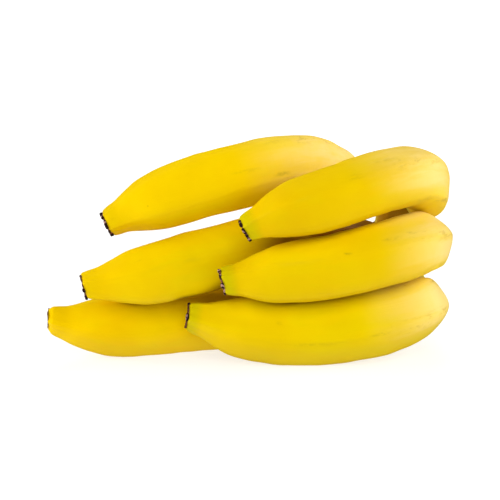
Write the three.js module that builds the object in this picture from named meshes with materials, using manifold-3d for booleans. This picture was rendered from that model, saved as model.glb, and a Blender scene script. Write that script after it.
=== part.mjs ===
// A hand of six ripe bananas lying on its side: two rows of three fingers, joined at one crown.
// Millimetres, +Z up. The blossom ends point towards -X, and the crown is at the rear right.
// Each finger, each dried blossom end and the crown is a mesh of its own.

import * as THREE from "three";
import { mergeVertices } from "three/addons/utils/BufferGeometryUtils.js";
import Module from "manifold-3d";

const wasm = await Module();
wasm.setup();

// ---- Driving dimensions ----

// Each finger has its radius halfway along its body, its radius at the blossom end, and the control
// points of its axis from there to the crown, in the layout frame: x to the right, y to the rear, z
// up from the surface that the hand lies on. `turn` is how far its facets are turned round the axis,
// in degrees, at the blossom end and at the crown. `nod` is how far its tip hangs below the axis, and
// `lean` is how many degrees the top of its blossom end leans out.
const FINGERS = [
  {
    name: "front_top", radius: 18.6, tip: 6.6, turn: [-31, -20], nod: 4.5, lean: 2,
    axis: [[-3.5, -17, 90], [49, -16, 102], [112, 3, 118.5], [108.5, 30, 142.5],
      [118.5, 52, 62.5], [108, 94, 92]],
  },
  {
    name: "front_middle", radius: 19.1, tip: 7.4, turn: [-9, -30], nod: 0, lean: 8,
    axis: [[-17, -13, 54], [82, -8, 64], [102, -6, 70.5], [102.5, 10, 91], [125, 46, 53],
      [109, 94, 64]],
  },
  {
    name: "front_bottom", radius: 20.9, tip: 7.4, turn: [-26, -27], nod: 0, lean: 8,
    axis: [[-38.5, 3, 30.5], [62, 6, 2.5], [97.5, 6, 34], [112, 13, 43.5], [117, 51, 12],
      [107, 94, 44]],
  },
  {
    name: "back_top", radius: 19.8, tip: 7.4, turn: [-29, -16], nod: 0, lean: -3,
    axis: [[-87.5, 12, 85], [-25, 18, 119], [22, 26, 112], [30, 45, 128], [49, 67, 115],
      [90, 98, 97]],
  },
  {
    name: "back_middle", radius: 19.5, tip: 7, turn: [-35, -68], nod: 0, lean: 11,
    axis: [[-100.5, -3, 49], [-37, 14, 54], [12.5, 34, 73.5], [51, 50, 79], [69, 67, 72],
      [87.5, 98, 65]],
  },
  {
    name: "back_bottom", radius: 20.8, tip: 6.6, turn: [11, 15], nod: 0, lean: 16,
    axis: [[-125, 12, 26.5], [-80, 20, 12], [-48, 36, 24], [1.5, 51, 24.5], [54, 70, 8],
      [90, 98, 38]],
  },
];

// The shares of an axis, from the blossom end, over which a nodding tip bends down, and over which
// a finger's own tip radius and the lean of its end fade away.
const NOD_REACH = 0.11;
const TIP_REACH = 0.09;

// Where the middle of the hand's box is in the layout frame. It becomes the model's origin.
const LAYOUT_MIDDLE = { x: 0.4, y: 45.4 };

// How a finger swells and narrows: [share of its length from the blossom end, share of its radius].
const GIRTH = [
  [0, 0.385], [0.02, 0.45], [0.05, 0.515], [0.085, 0.658], [0.12, 0.79], [0.155, 0.885],
  [0.2, 0.945], [0.27, 0.985], [0.38, 1], [0.54, 1], [0.64, 0.957], [0.72, 0.825],
  [0.79, 0.68], [0.85, 0.5], [0.905, 0.39], [0.96, 0.355], [1, 0.4],
];

// How square the five ridges stand: [share of length, exponent]. 2 is round, and more is more angular.
const RIDGES = [[0, 5.5], [0.2, 4.6], [0.6, 4.6], [0.8, 6], [1, 6.5]];

// The section has a ridge on every third corner. The neck is the stretch of the last rings.
const FACETS = 5;
const SECTION_SIDES = 30;
const NECK_RINGS = 6;
const RING_SHARES = [
  0.03, 0.055, 0.085, 0.12, 0.16, 0.21, 0.27, 0.34, 0.4, 0.46, 0.515, 0.565, 0.61,
  0.655, 0.7, 0.745, 0.79, 0.835, 0.885, 0.94, 1,
];

// The fruit's own skin starts behind the dried blossom end, with a rounded shoulder.
const BLOSSOM_DEPTH = 1.3;
const SKIN_GAP = 0.3;
const SHOULDER = [[0, 0.9], [0.4, 0.97], [1.2, 1]];

// The blossom end: [distance behind its outermost point, share of the fruit's radius there].
const BLOSSOM_PROFILE = [[1.3, 0.88], [1, 0.98], [0.4, 1], [0, 0.86], [0.4, 0.5]];
const BLOSSOM_SIDES = 16;
const BLOSSOM_RAGGED = { radius: 0.04, depth: 0.3 };

// The crown: a cushion of [distance to the rear, half width, half height], round in outline, curved
// to the rear at its top and bottom as it was round the stalk. The last rings are the dished cut.
const CROWN = {
  middle: { x: 102, z: 65.5 },
  rings: [
    [96.5, 8, 28], [98, 12, 34], [101.5, 15, 38], [106.5, 16, 40.5],
    [111.5, 14.5, 40], [115.6, 12, 38], [116.6, 10, 36], [115.6, 6, 26],
  ],
  tallest: 40.5,
  roundness: 2.7,
  sides: 32,
  bow: 6,
};

// The collar by which each finger's neck spreads into the crown: [distance past the neck, radius].
const COLLAR = [[0, 7.9], [3, 8.6], [6, 10.2], [9, 12.2], [11, 12.5]];
const COLLAR_SIDES = 16;

const MATERIALS = {
  peel: new THREE.MeshStandardMaterial({ color: 0xf3c90e, roughness: 0.46, metalness: 0 }),
  blossom: new THREE.MeshStandardMaterial({ color: 0x3c2620, roughness: 0.9, metalness: 0 }),
  crown: new THREE.MeshStandardMaterial({ color: 0xb9a33a, roughness: 0.7, metalness: 0 }),
};

// ---- Shape helpers ----

// A value that runs smoothly through [place, value] stations.
function along(stations, place) {
  let i = 0;
  while (i < stations.length - 2 && place > stations[i + 1][0]) i += 1;
  const slope = (k) => (stations[k + 1][1] - stations[k][1]) / (stations[k + 1][0] - stations[k][0]);
  const tangent = (k) => {
    if (k === 0) return slope(0);
    if (k === stations.length - 1) return slope(k - 1);
    return (slope(k - 1) + slope(k)) / 2;
  };
  const [x0, y0] = stations[i];
  const [x1, y1] = stations[i + 1];
  const width = x1 - x0;
  const t = (place - x0) / width;
  return (2 * t ** 3 - 3 * t ** 2 + 1) * y0 + (t ** 3 - 2 * t ** 2 + t) * width * tangent(i)
    + (3 * t ** 2 - 2 * t ** 3) * y1 + (t ** 3 - t ** 2) * width * tangent(i + 1);
}

// A finger's axis: a Bezier curve of its control points, bent down at a nodding tip.
class FingerAxis extends THREE.Curve {
  constructor({ axis, nod, turn }) {
    super();
    this.points = axis.map((p) => new THREE.Vector3(...p));
    this.nod = nod;
    this.turn = turn.map((degrees) => THREE.MathUtils.degToRad(degrees));
    this.arcLengthDivisions = 400;
  }

  getPoint(t, target = new THREE.Vector3()) {
    let level = this.points.map((p) => p.clone());
    while (level.length > 1) {
      level = level.slice(1).map((p, i) => level[i].clone().lerp(p, t));
    }
    const sink = this.nod * Math.max(0, 1 - t / NOD_REACH) ** 2;
    return target.copy(level[0]).setZ(level[0].z - sink);
  }

  // How far the facets are turned round the axis at a share of its length.
  turnAt(share) {
    return THREE.MathUtils.lerp(this.turn[0], this.turn[1], share);
  }
}

// The axis's point and directions at a share of its length: `out` is the side that the finger bows to.
function axisFrame(axis, share) {
  const [first, middle, last] = [0, 0.5, 1].map((place) => axis.getPointAt(place));
  const bend = middle.clone().sub(first).cross(last.sub(middle)).normalize();
  const point = axis.getPointAt(share);
  const forward = axis.getTangentAt(share);
  const out = forward.clone().cross(bend).normalize();
  const side = out.clone().cross(forward);
  return { point, forward, out, side };
}

// A point at an angle and radius round an axis frame, moved along it by `ahead`.
function roundAxis(frame, angle, radius, ahead = 0) {
  return frame.point.clone()
    .addScaledVector(frame.out, radius * Math.cos(angle))
    .addScaledVector(frame.side, radius * Math.sin(angle))
    .addScaledVector(frame.forward, ahead);
}

// Radius of a soft five-sided section at an angle, for a mean radius of one.
function fiveSided(angle, exponent) {
  const reach = (at) => {
    let sum = 0;
    for (let k = 0; k < FACETS; k += 1) {
      sum += Math.max(0, Math.cos(at - (k * 2 * Math.PI) / FACETS)) ** exponent;
    }
    return sum ** (-1 / exponent);
  };
  return (2 * reach(angle)) / (reach(0) + reach(Math.PI / FACETS));
}

// A closed solid through rings of points, with a fan to a centre point at each end.
function loft(rings) {
  const sides = rings[0].length;
  const centre = (ring) => ring.reduce((sum, p) => sum.add(p), new THREE.Vector3()).divideScalar(sides);
  const points = [...rings.flat(), centre(rings[0]), centre(rings[rings.length - 1])];
  const first = rings.length * sides;
  const index = [];
  for (let j = 0; j < sides; j += 1) {
    const next = (j + 1) % sides;
    for (let i = 0; i < rings.length - 1; i += 1) {
      const [a, b] = [i * sides + j, i * sides + next];
      index.push(a, b, b + sides, a, b + sides, a + sides);
    }
    const end = (rings.length - 1) * sides;
    index.push(first, next, j, first + 1, end + j, end + next);
  }
  const geometry = new THREE.BufferGeometry();
  geometry.setAttribute("position", new THREE.Float32BufferAttribute(points.flatMap((p) => [...p]), 3));
  geometry.setIndex(index);
  return facingOut(geometry);
}

// Turns a closed geometry's faces over if they point in.
function facingOut(geometry) {
  const position = geometry.attributes.position;
  const index = geometry.index.array;
  const corner = (k) => new THREE.Vector3().fromBufferAttribute(position, index[k]);
  let volume = 0;
  for (let k = 0; k < index.length; k += 3) {
    volume += corner(k).dot(corner(k + 1).cross(corner(k + 2)));
  }
  if (volume < 0) {
    for (let k = 0; k < index.length; k += 3) {
      [index[k + 1], index[k + 2]] = [index[k + 2], index[k + 1]];
    }
  }
  geometry.computeVertexNormals();
  return geometry;
}

function toSolid(geometry) {
  const bare = geometry.clone();
  bare.deleteAttribute("normal");
  const merged = mergeVertices(bare);
  return new wasm.Manifold(new wasm.Mesh({
    numProp: 3,
    vertProperties: new Float32Array(merged.attributes.position.array),
    triVerts: new Uint32Array(merged.index.array),
  }));
}

function fromSolid(solid) {
  const mesh = solid.getMesh();
  const geometry = new THREE.BufferGeometry();
  geometry.setAttribute("position", new THREE.BufferAttribute(new Float32Array(mesh.vertProperties), 3));
  geometry.setIndex(new THREE.BufferAttribute(new Uint32Array(mesh.triVerts), 1));
  geometry.computeVertexNormals();
  return geometry;
}

// ---- Sub-parts ----

// How much of a finger's own tip is left at a share of its length.
function tipFade(share) {
  return Math.max(0, 1 - share / TIP_REACH) ** 2;
}

// A finger's mean radius at a share of its length.
function girthAt(finger, share) {
  const ownTip = finger.tip - finger.radius * GIRTH[0][1];
  return finger.radius * along(GIRTH, share) + ownTip * tipFade(share);
}

// A point round a finger's axis. Near the blossom end it is moved along the axis by the end's lean.
function leaningPoint(finger, frame, share, angle, reach, ahead) {
  const rise = roundAxis(frame, angle, reach, 0).z - frame.point.z;
  const shift = Math.tan(THREE.MathUtils.degToRad(finger.lean)) * rise * tipFade(share);
  return roundAxis(frame, angle, reach, ahead - shift);
}

function sectionRing(finger, axis, share, scale = 1, grow = 0, ahead = 0) {
  const frame = axisFrame(axis, share);
  const turn = axis.turnAt(share);
  const girth = girthAt(finger, share);
  const ring = [];
  for (let j = 0; j < SECTION_SIDES; j += 1) {
    const angle = (j * 2 * Math.PI) / SECTION_SIDES;
    const reach = girth * fiveSided(angle, along(RIDGES, share));
    ring.push(leaningPoint(finger, frame, share, angle + turn, reach * scale + grow, ahead));
  }
  return ring;
}

// One fruit. What would sink below the surface is pressed flat against it.
function fingerGeometry(finger) {
  const axis = new FingerAxis(finger);
  const length = axis.getLength();
  const start = (BLOSSOM_DEPTH + SKIN_GAP) / length;
  const rings = [
    ...SHOULDER.map(([back, scale]) => sectionRing(finger, axis, start + back / length, scale)),
    ...RING_SHARES.map((share) => sectionRing(finger, axis, share)),
  ];
  rings.flat().forEach((p) => p.setZ(Math.max(p.z, 0)));
  return loft(rings);
}

// The neck of a finger, grown by the gap that the crown keeps to it.
function neckClearance(finger) {
  const axis = new FingerAxis(finger);
  const shares = RING_SHARES.slice(-NECK_RINGS);
  const rings = shares.map((share) => sectionRing(finger, axis, share, 1, SKIN_GAP));
  rings.push(sectionRing(finger, axis, 1, 1, SKIN_GAP, SKIN_GAP));
  return loft(rings);
}

// The dry, ragged remains of the flower on a finger's end.
function blossomGeometry(finger, number) {
  const axis = new FingerAxis(finger);
  const length = axis.getLength();
  const frame = axisFrame(axis, 0);
  const rings = BLOSSOM_PROFILE.map(([back, scale]) => {
    const front = 1 - back / BLOSSOM_DEPTH;
    const girth = girthAt(finger, back / length) * scale;
    const ring = [];
    for (let j = 0; j < BLOSSOM_SIDES; j += 1) {
      const angle = (j * 2 * Math.PI) / BLOSSOM_SIDES;
      const wave = Math.sin(3 * angle + 2.1 * number) + 0.8 * Math.sin(7 * angle + 1.3 * number);
      const reach = girth * (1 + BLOSSOM_RAGGED.radius * wave);
      const ahead = back + BLOSSOM_RAGGED.depth * Math.sin(4 * angle + number) * front;
      ring.push(leaningPoint(finger, frame, back / length, angle, reach, ahead));
    }
    return ring;
  });
  return loft(rings);
}

// The crown's cushion, with a superellipse as its outline.
function cushionGeometry() {
  const power = 2 / CROWN.roundness;
  const rings = CROWN.rings.map(([rear, halfWidth, halfHeight]) => {
    const ring = [];
    for (let j = 0; j < CROWN.sides; j += 1) {
      const angle = (j * 2 * Math.PI) / CROWN.sides;
      const [c, s] = [Math.cos(angle), Math.sin(angle)];
      const across = Math.sign(c) * Math.abs(c) ** power * halfWidth;
      const up = Math.sign(s) * Math.abs(s) ** power * halfHeight;
      const bow = CROWN.bow * (up / CROWN.tallest) ** 2;
      ring.push(new THREE.Vector3(CROWN.middle.x + across, rear + bow, CROWN.middle.z + up));
    }
    return ring;
  });
  return loft(rings);
}

function collarGeometry(finger) {
  const frame = axisFrame(new FingerAxis(finger), 1);
  const rings = COLLAR.map(([ahead, radius]) => {
    const ring = [];
    for (let j = 0; j < COLLAR_SIDES; j += 1) {
      ring.push(roundAxis(frame, (j * 2 * Math.PI) / COLLAR_SIDES, radius, ahead));
    }
    return ring;
  });
  return loft(rings);
}

function crownGeometry() {
  let crown = toSolid(cushionGeometry());
  FINGERS.forEach((finger) => {
    crown = crown.add(toSolid(collarGeometry(finger)));
  });
  FINGERS.forEach((finger) => {
    crown = crown.subtract(toSolid(neckClearance(finger)));
  });
  return fromSolid(crown);
}

// ---- Assembly ----

function namedMesh(name, geometry, material) {
  const mesh = new THREE.Mesh(geometry, material);
  mesh.name = name;
  return mesh;
}

const hand = new THREE.Group();
FINGERS.forEach((finger, i) => {
  const fruit = new THREE.Group();
  fruit.add(namedMesh(`finger_${finger.name}`, fingerGeometry(finger), MATERIALS.peel));
  fruit.add(namedMesh(`blossom_${finger.name}`, blossomGeometry(finger, i), MATERIALS.blossom));
  hand.add(fruit);
});
hand.add(namedMesh("crown", crownGeometry(), MATERIALS.crown));
hand.position.set(-LAYOUT_MIDDLE.x, -LAYOUT_MIDDLE.y, 0);

export default hand;
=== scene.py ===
"""A hand of six ripe bananas lying on its side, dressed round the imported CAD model.

Lengths are worked out in millimetres and turned into metres where a mesh is made. Places along a finger
are shares of its length, from 0 at the blossom end to 1 at the crown. A pair such as (13, 3) that goes
to step_up() says where a value starts and where it is full.
"""

import math

import bpy
import numpy as np
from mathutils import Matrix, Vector


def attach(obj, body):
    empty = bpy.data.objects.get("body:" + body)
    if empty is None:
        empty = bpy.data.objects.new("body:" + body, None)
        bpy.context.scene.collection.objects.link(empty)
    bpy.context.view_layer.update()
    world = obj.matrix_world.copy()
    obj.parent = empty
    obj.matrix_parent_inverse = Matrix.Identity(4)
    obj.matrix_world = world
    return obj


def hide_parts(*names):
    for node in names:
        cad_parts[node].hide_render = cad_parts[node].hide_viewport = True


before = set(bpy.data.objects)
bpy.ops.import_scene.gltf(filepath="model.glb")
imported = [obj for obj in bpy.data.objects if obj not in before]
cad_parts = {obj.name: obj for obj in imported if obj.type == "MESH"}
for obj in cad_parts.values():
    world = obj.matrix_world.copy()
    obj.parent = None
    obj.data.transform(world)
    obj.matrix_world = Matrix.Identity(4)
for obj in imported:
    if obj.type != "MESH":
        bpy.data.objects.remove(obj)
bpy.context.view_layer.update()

# ---------------------------------------------------------------- sizes and places

MM = 0.001

# Each finger has its radius halfway along its body and at the blossom end; how far its facets are
# turned round the axis, in degrees, at the blossom end and at the crown; how far its tip hangs below
# the axis; how many degrees the top of its blossom end leans out; and the axis's control points from
# the blossom end to the crown, in the CAD model's layout frame: x right, y to the rear, z up.
FINGERS = {
    "front_top": (18.6, 6.6, (-31, -20), 4.5, 2, [(-3.5, -17, 90), (49, -16, 102), (112, 3, 118.5),
                                                  (108.5, 30, 142.5), (118.5, 52, 62.5), (108, 94, 92)]),
    "front_middle": (19.1, 7.4, (-9, -30), 0, 8, [(-17, -13, 54), (82, -8, 64), (102, -6, 70.5),
                                                  (102.5, 10, 91), (125, 46, 53), (109, 94, 64)]),
    "front_bottom": (20.9, 7.4, (-26, -27), 0, 8, [(-38.5, 3, 30.5), (62, 6, 2.5), (97.5, 6, 34),
                                                   (112, 13, 43.5), (117, 51, 12), (107, 94, 44)]),
    "back_top": (19.8, 7.4, (-29, -16), 0, -3, [(-87.5, 12, 85), (-25, 18, 119), (22, 26, 112),
                                                (30, 45, 128), (49, 67, 115), (90, 98, 97)]),
    "back_middle": (19.5, 7, (-35, -68), 0, 11, [(-100.5, -3, 49), (-37, 14, 54), (12.5, 34, 73.5),
                                                 (51, 50, 79), (69, 67, 72), (87.5, 98, 65)]),
    "back_bottom": (20.8, 6.6, (11, 15), 0, 16, [(-125, 12, 26.5), (-80, 20, 12), (-48, 36, 24),
                                                 (1.5, 51, 24.5), (54, 70, 8), (90, 98, 38)]),
}
FRONT_ROW = [name for name in FINGERS if name.startswith("front")]
# How far along the finger the hanging of its tip reaches, and its blossom end's own girth, lean and turn.
NOD_REACH = 0.11
TIP_REACH = 0.09
# The point of the layout's floor that is the CAD model's origin.
LAYOUT_MIDDLE = np.array([0.4, 45.4, 0])

# How a finger swells and narrows: (share of its length from the blossom end, share of its radius).
GIRTH = [(0, 0.385), (0.02, 0.45), (0.05, 0.515), (0.085, 0.658), (0.12, 0.79), (0.155, 0.885),
         (0.2, 0.945), (0.27, 0.985), (0.38, 1), (0.54, 1), (0.64, 0.957), (0.72, 0.825),
         (0.79, 0.68), (0.85, 0.5), (0.905, 0.39), (0.96, 0.355), (1, 0.4)]

# How square the five ridges stand along the finger: 2 is round, and more is more angular.
RIDGES = [(0, 5.5), (0.2, 4.6), (0.6, 4.6), (0.8, 6), (1, 6.5)]
FACETS = 5

FINGER_SIDES = 100
FINGER_RINGS = 170
# How much the rings crowd towards both ends of a finger, and how much its waves are shifted for the next.
RINGS_CROWD = 0.1
FINGER_TURN = 1.9
# How far behind the end of its axis a finger's peel starts.
SKIN_START = 0.8
# How much the skin is drawn in at a blossom end, as a share of its radius, and over how many
# millimetres. SHOULDER_LEAD is where that would start if the skin ran on, so that it ends on a slope.
SHOULDER = (0.1, 1.3)
ROUNDED = {"back_bottom": (0.17, 2.6)}
SHOULDER_LEAD = -0.4
# How far a blossom end's face is turned away from the front, in degrees.
AVERTED = {"back_middle": 6, "back_bottom": 3}
# How far a neck runs on into the crown, and the share of its girth that it keeps there.
NECK_TUCK = 2.5
NECK_KEEPS = 0.94

# Waves over the skin, as (height, wavelength along, waves round, start): its lumps, and how its ridges
# drift sideways, once the drift has grown. They start elsewhere round a finger than along it.
SKIN_LUMPS = [(0.22, 47, 1, 0.4), (0.16, 31, 2, 1.9), (0.1, 19, 3, 3.1), (0.07, 13, 4, 5.2)]
RIDGE_DRIFT = [(0.055, 83, 1, 0.7), (0.03, 37, 2, 2.6)]
DRIFT_GROWN = 0.2
START_ROUND = 2.3
TURN_ROUND = 1.7
# The skin is folded at its ends: the folds die out from the blossom end up to the first of these places,
# and come in again from the second to the crown.
TIP_FOLDED = 0.1
NECK_FOLDED = 0.86
# Their height, how many stand round the finger, and how far and how slowly they swing along it.
FOLD_HEIGHT = 0.1
FOLDS_ROUND = 11
FOLD_SWING = 2
FOLD_STRIDE = 9
# The fine crest on every ridge: how narrow it is, its height, how much and how slowly that sways along
# the finger, and the share of it that shows on the body and that the ends add.
CREST_POWER = 44
CREST_HEIGHT = 0.3
CREST_SWAY = 0.12
CREST_STRIDE = 23
CREST_BODY = 0.7
CREST_ENDS = 1.3

# The dried rim round a blossom end: its beads as (clock angle and half width in degrees, height in mm),
# with 0 degrees at the top, 90 at the front and 180 at the bottom; how pale it is, from 0 to 1; and how
# thick it is between the beads.
RIMS = {
    "front_top": ([(22, 13, 0.8), (48, 15, 1.0), (84, 17, 1.25), (112, 12, 0.9), (146, 22, 1.25),
                   (230, 30, 0.7), (310, 25, 0.7)], 0.15, 0.36),
    "front_middle": ([(12, 14, 0.95), (50, 20, 0.5), (96, 15, 1.3), (135, 20, 0.45), (166, 14, 0.5),
                      (250, 40, 0.7)], 0.5, 0.36),
    "front_bottom": ([(14, 13, 0.9), (42, 9, 0.4), (86, 17, 2.0), (132, 10, 0.2), (160, 12, 0.9),
                      (240, 30, 0.6), (320, 25, 0.6)], 0.0, 0.28),
    "back_top": ([(36, 24, 1.35), (78, 14, 0.9), (98, 14, 1.3), (128, 14, 0.6), (160, 15, 1.4),
                  (240, 40, 0.6), (320, 25, 0.7)], 0.3, 0.34),
    "back_middle": ([(8, 9, 0.7), (97, 12, 1.0), (148, 20, 1.5), (230, 30, 0.5),
                     (300, 25, 0.5)], 0.0, 0.22),
    "back_bottom": ([(60, 30, 0.12), (250, 40, 0.2)], 0.25, 0.17),
}
# How far behind the end of the axis the rim's middle and the centre of its face lie, how far back the
# face may go, how far ahead of the end the rim may stand, and how far in from the skin it sits.
RIM_DEPTH = 0.7
FACE_SUNK = 0.4
FACE_LIMIT = SKIN_START - 0.2
RIM_PROUD = 0.5
RIM_INSET = 0.1
# The rim's radius as a share of the finger's at its end, less what the skin is drawn in there.
RIM_REACH = 1.1
RIM_SIDES = 144
# Where the rings round the rim's tube start and stop, in degrees, and where those over its face do, as
# shares of its radius, each with the number of rings.
RIM_ARC = (200, -60, 22)
FACE_SPAN = (0.95, 0.08, 20)
# A bead's edge in half widths, how much of its height goes outwards and ahead, and where it turns dark.
BEAD_EDGE = (1.25, 0.35)
BEAD_OUT = 0.62
BEAD_AHEAD = 0.35
BEAD_DARKENS = (0.15, 0.55)
RIM_THINNEST = 0.12
# Waves round a rim, as (height, waves, start): its thickness, its place ahead or behind, its radius, the
# lumps on its tube and the fibres of its face, which both twist as they go. FACE_PLEATS is how high and
# how close the face's waves are from its edge inwards, and RIM_TURN shifts all waves for the next rim.
RIM_CRUMPLE = [(0.14, 23, 1), (0.14, 37, 2)]
RIM_WAVER = [(0.22, 3, 1), (0.12, 8, 2)]
RIM_OVAL = [(0.012, 5, 1), (0.01, 11, 3)]
RIM_LUMPS = [(0.1, 9, 1)]
RIM_TWIST = 4
FACE_FIBRES = [(0.1, 19, 1)]
FACE_TWIST = 5
FACE_PLEATS = (0.12, 31)
RIM_TURN = 1.7

# The crown: the middle of its cushion across and up, the cushion's rings as (distance to the rear, half
# width, half height), how square they are, and how far its top and bottom bow to the rear.
CROWN_MIDDLE = (102, 65.5)
CROWN_RINGS = [(96.5, 8, 28), (98, 12, 34), (101.5, 15, 38), (106.5, 16, 40.5),
               (111.5, 14.5, 40), (115.6, 12, 38), (116.6, 10, 36), (115.6, 6, 26)]
CROWN_HALF_HEIGHT = max(half_height for _, _, half_height in CROWN_RINGS)
CROWN_ROUNDNESS = 2.7
CROWN_BOW = 6
CUSHION_RINGS = 29
CROWN_SIDES = 72
# The collar round the end of each neck, as (how far past that end, radius), and the stub of each neck
# that runs into it: where on the finger it starts, its number of rings, and its share of the girth.
COLLAR = [(0, 7.9), (3, 8.6), (6, 10.2), (9, 12.2), (11, 12.5)]
COLLAR_SIDES = 40
STUB_FROM = 0.93
STUB_RINGS = 8
STUB_GIRTH = 0.93
# The voxels that they all grow together in, and how much and how many times the skin is smoothed.
CROWN_VOXEL = 0.9
CROWN_EASE = 0.5
CROWN_EASED = 14
# The crown's cut: how far to the rear it is, and how far to the rear it faces.
CUT_DEPTH = (112.5, 115.5)
CUT_FACING = (0.2, 0.8)
# The strands of the cut and the furrows of the rind: their height, how fast they wave across and up, and
# how far and how fast they swing.
STRAND_HEIGHT = 0.28
STRANDS_ACROSS = 3.1
STRANDS_UP = 2.3
STRAND_SWING = (1.5, 0.7)
FURROW_HEIGHT = 0.09
FURROWS_UP = 1.9
FURROW_SWING = (0.8, 0.5)
# Where the rind turns corky to the rear, and where painted shade darkens it between the necks at the front.
CORK_DEPTH = (96, 110)
CROOK_SHADE_FACING = (0.35, -0.35)
CROOK_SHADE_DEPTH = (110, 100)

# The table's rings as (radius, height), the studio lights' places and sizes, all in metres, and watts.
FLOOR_SWEEP = [(0.6, 0), (2.6, 0), (2.9, 0.008), (3.2, 0.03), (3.5, 0.09), (3.8, 0.19), (4.05, 0.33),
               (4.25, 0.55)]
FLOOR_SIDES = 96
SOFTBOXES = {"right": ((1.54, -0.14, 0.72), 20), "left": ((-1.59, -0.14, 0.58), 26),
             "rear": ((0, 1.3, 1.1), 18), "front": ((0, -1.4, 0.97), 14)}
SOFTBOX_SIZE = (1.1, 1.1)
SOFTBOX_AIM = (0, 0, 0.07)
SHEEN_PLACE = (0.9, 0.3, 0.55)
SHEEN_AIM = (0.1, 0, 0.07)
SHEEN_SIZE = (0.9, 0.8)
SHEEN_WATTS = 5
STUDIO_GLOW = 0.2

# The point of the layout that the camera looks at, how far away and how steeply above it is, and its lens.
CAMERA_AIM = Vector((0, 12, 69))
CAMERA_DISTANCE = 720
CAMERA_RISE = math.radians(10)
CAMERA_LENS = 85
CAMERA_SENSOR = 36
CAMERA_NEAR = 10

# ---------------------------------------------------------------- curves and sections


def along(stations, places):
    """Values that run smoothly through (place, value) stations, as in the CAD model."""
    x, y = np.array(stations, float).T
    slopes = np.diff(y) / np.diff(x)
    tangents = np.concatenate([slopes[:1], (slopes[1:] + slopes[:-1]) / 2, slopes[-1:]])
    places = np.asarray(places, float)
    i = np.clip(np.searchsorted(x, places, side="left") - 1, 0, len(x) - 2)
    width = x[i + 1] - x[i]
    t = (places - x[i]) / width
    return ((2 * t**3 - 3 * t**2 + 1) * y[i] + (t**3 - 2 * t**2 + t) * width * tangents[i]
            + (3 * t**2 - 2 * t**3) * y[i + 1] + (t**3 - t**2) * width * tangents[i + 1])


def unit(vectors):
    """Vectors made one long."""
    return vectors / np.linalg.norm(vectors, axis=-1, keepdims=True)


class FingerAxis:
    """A finger's axis: points and directions at shares of its length."""

    STEPS = 2000
    LOOK_AHEAD = 0.002

    def __init__(self, name):
        self.radius, self.tip, turn, nod, lean, points = FINGERS[name]
        self.turn = np.radians(turn)
        self.lean = math.tan(math.radians(lean))
        self.averted = math.tan(math.radians(AVERTED.get(name, 0)))
        level = [np.array(p, float)[None] for p in points]
        t = np.linspace(0, 1, self.STEPS)[:, None]
        while len(level) > 1:
            level = [a * (1 - t) + b * t for a, b in zip(level, level[1:])]
        self.curve = level[0]
        self.curve[:, 2] -= nod * np.clip(1 - t[:, 0] / NOD_REACH, 0, 1) ** 2
        steps = np.linalg.norm(np.diff(self.curve, axis=0), axis=1)
        self.travel = np.concatenate([[0], np.cumsum(steps)])
        self.length = self.travel[-1]
        middle = self.points([0.5])[0]
        self.bend = unit(np.cross(middle - self.curve[0], self.curve[-1] - middle))

    def points(self, shares):
        """Points of the axis."""
        places = np.clip(shares, 0, 1) * self.length
        return np.stack([np.interp(places, self.travel, c) for c in self.curve.T], -1)

    def frames(self, shares):
        """Points, and the directions forward, out to the bowed side, and across."""
        shares = np.clip(np.asarray(shares, float), 0, 1)
        ahead = np.minimum(shares + self.LOOK_AHEAD, 1)
        behind = np.maximum(shares - self.LOOK_AHEAD, 0)
        forward = unit(self.points(ahead) - self.points(behind))
        out = unit(np.cross(forward, self.bend))
        return self.points(shares), forward, out, np.cross(out, forward)

    def girth(self, shares):
        """The finger's mean radius."""
        own_tip = self.tip - self.radius * GIRTH[0][1]
        return self.radius * along(GIRTH, shares) + own_tip * self.tip_fade(shares)

    def tip_fade(self, shares):
        """How much of the finger's own tip is left."""
        return np.clip(1 - shares / TIP_REACH, 0, 1) ** 2

    def leaning(self, shares, forward, around):
        """Offsets round the axis, moved along it near the blossom end by the end's lean and turn."""
        shift = self.lean * around[..., 2] - self.averted * around[..., 1]
        shift = shift * self.tip_fade(np.maximum(shares, 0))
        return around - shift[..., None] * forward


def five_sided(angles, exponents):
    """Reach of a soft five-sided section, for a mean radius of one."""

    def reach(at):
        facets = [np.cos(at - facet * 2 * math.pi / FACETS) for facet in range(FACETS)]
        return sum(np.maximum(0, facet) ** exponents for facet in facets) ** (-1 / exponents)

    return 2 * reach(angles) / (reach(np.zeros(1)) + reach(np.full(1, math.pi / FACETS)))


def waves(x, angle, turn, table):
    """A sum of slow waves over a finger's skin: (height, wavelength along, waves round, start)."""
    total = 0
    for height, wavelength, rounds, start in table:
        lengthwise = np.sin(2 * math.pi * x / wavelength + start + turn)
        crosswise = np.cos(rounds * angle + start * START_ROUND + turn * TURN_ROUND)
        total = total + height * lengthwise * crosswise
    return total


def ripples(angle, turn, table):
    """A sum of waves round a rim: (height, waves round, start)."""
    return sum(height * np.sin(rounds * angle + start * turn) for height, rounds, start in table)


def clock_gap(clock, place):
    """How far clock angles are from a place on the clock, from -180 to 180 degrees."""
    return (clock - place + 180) % 360 - 180


def step_up(low, high, x):
    """0 below low, 1 above high, and smooth between them; it falls where low is above high."""
    t = np.clip((x - low) / (high - low), 0, 1)
    return t * t * (3 - 2 * t)


# ---------------------------------------------------------------- meshes


def in_scene(name, mesh):
    """An object that shows a mesh, smoothly shaded."""
    mesh.polygons.foreach_set("use_smooth", [True] * len(mesh.polygons))
    piece = bpy.data.objects.new(name, mesh)
    bpy.context.scene.collection.objects.link(piece)
    return piece


def new_piece(name, points, faces, finish):
    """A piece with points in the layout's millimetres."""
    mesh = bpy.data.meshes.new(name)
    mesh.from_pydata(((points - LAYOUT_MIDDLE) * MM).tolist(), [], faces)
    mesh.materials.append(finish)
    mesh.update()
    return in_scene(name, mesh)


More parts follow.
